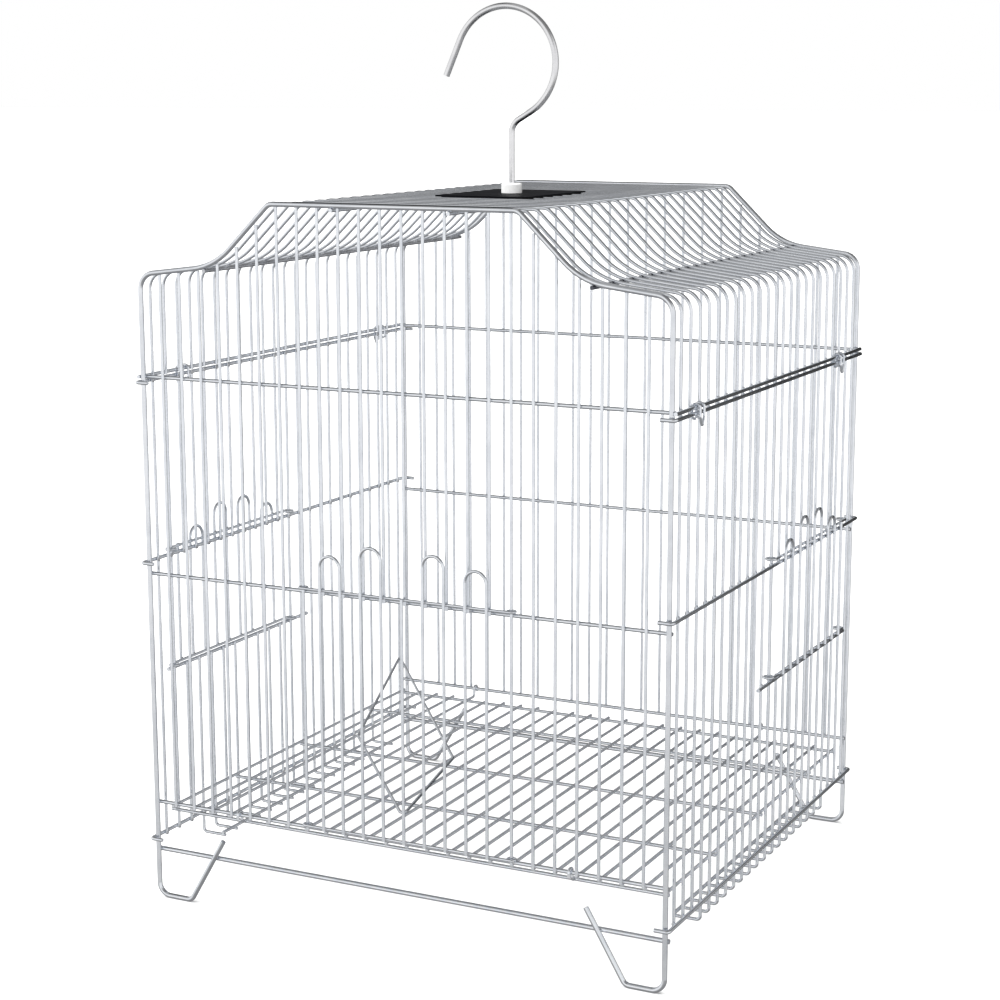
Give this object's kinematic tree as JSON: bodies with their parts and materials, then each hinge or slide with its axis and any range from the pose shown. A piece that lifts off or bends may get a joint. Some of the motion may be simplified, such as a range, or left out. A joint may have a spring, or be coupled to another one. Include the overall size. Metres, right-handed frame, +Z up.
{
  "type": "hanging wire poultry crate",
  "caption": "Hanging bright wire crate for small poultry or cage birds, with a stepped roof, sliding doors, a wire floor grate, bent wire feet and a swivel hook.",
  "frame": {"origin": "centre of the footprint, on the surface that the four wire feet stand on", "axes": "+Z up, front door towards -Y, +X to the right seen from the front"},
  "size_m": [0.3632, 0.338, 0.5635],
  "materials": {
    "bright_wire": "polished",
    "frame_wire": "polished",
    "hook_steel": "satin",
    "black_plate": "satin",
    "white_collar": "gloss"
  },
  "bodies": {
    "crate": {"back_bars": "bright_wire", "back_bottom_rail": "bright_wire", "back_frame": "frame_wire", "back_mid_rail": "bright_wire", "back_tray_bar": "bright_wire", "back_upper_rail": "bright_wire", "floor_grate_hangers": "bright_wire", "floor_grate_rods": "bright_wire", "floor_grate_wires": "bright_wire", "front_bars_left": "bright_wire", "front_bars_over_door": "bright_wire", "front_bars_right": "bright_wire", "front_bottom_rail": "bright_wire", "front_frame": "frame_wire", "front_mid_rail": "bright_wire", "front_tray_bar": "bright_wire", "front_upper_rail": "bright_wire", "hook_collar": "white_collar", "hook_plate": "black_plate", "hook_washer": "hook_steel", "left_clips": "bright_wire", "right_clips": "bright_wire", "roof_lower_rail_left": "bright_wire", "roof_lower_rail_right": "bright_wire", "roof_ridge_rod_left": "bright_wire", "roof_ridge_rod_right": "bright_wire", "roof_shoulder_rod_left": "bright_wire", "roof_shoulder_rod_right": "bright_wire", "roof_wires": "bright_wire", "swing_frame": "bright_wire"},
    "front_door": {"front_door_bars": "bright_wire", "front_door_wires": "bright_wire"},
    "left_door": {"left_door_bars": "bright_wire", "left_door_wires": "bright_wire"},
    "right_door": {"right_door_bars": "bright_wire", "right_door_wires": "bright_wire"},
    "left_wall": {"left_wall_bars": "bright_wire", "left_wall_bars_over_door": "bright_wire", "left_wall_bars_under_door": "bright_wire", "left_wall_bottom_rail": "bright_wire", "left_wall_mid_rail": "bright_wire", "left_wall_sill": "bright_wire", "left_wall_top_rail": "bright_wire", "left_wall_tray_ledge": "bright_wire", "left_wall_tray_ledge_edge": "bright_wire"},
    "right_wall": {"right_wall_bars": "bright_wire", "right_wall_bars_over_door": "bright_wire", "right_wall_bars_under_door": "bright_wire", "right_wall_bottom_rail": "bright_wire", "right_wall_mid_rail": "bright_wire", "right_wall_sill": "bright_wire", "right_wall_top_rail": "bright_wire", "right_wall_tray_ledge": "bright_wire", "right_wall_tray_ledge_edge": "bright_wire"},
    "hook": {"hook": "hook_steel", "hook_stop": "hook_steel"}
  },
  "joints": [
    {"name": "front_door_slide", "type": "slide", "parent": "crate", "child": "front_door", "axis": [0, 0, 1], "range_m": [0, 0.119]},
    {"name": "left_wall_swing", "type": "hinge", "parent": "crate", "child": "left_wall", "pos_m": [-0.1781, 0, 0.3335], "axis": [0, 1, 0], "range_deg": [0, 90]},
    {"name": "right_wall_swing", "type": "hinge", "parent": "crate", "child": "right_wall", "pos_m": [0.1781, 0, 0.3335], "axis": [0, -1, 0], "range_deg": [0, 90]},
    {"name": "left_door_slide", "type": "slide", "parent": "left_wall", "child": "left_door", "axis": [0, 0, 1], "range_m": [0, 0.069]},
    {"name": "right_door_slide", "type": "slide", "parent": "right_wall", "child": "right_door", "axis": [0, 0, 1], "range_m": [0, 0.069]},
    {"name": "hook_swivel", "type": "hinge", "parent": "crate", "child": "hook", "pos_m": [0, -0.007, 0.45], "axis": [0, 0, 1], "continuous": true}
  ]
}
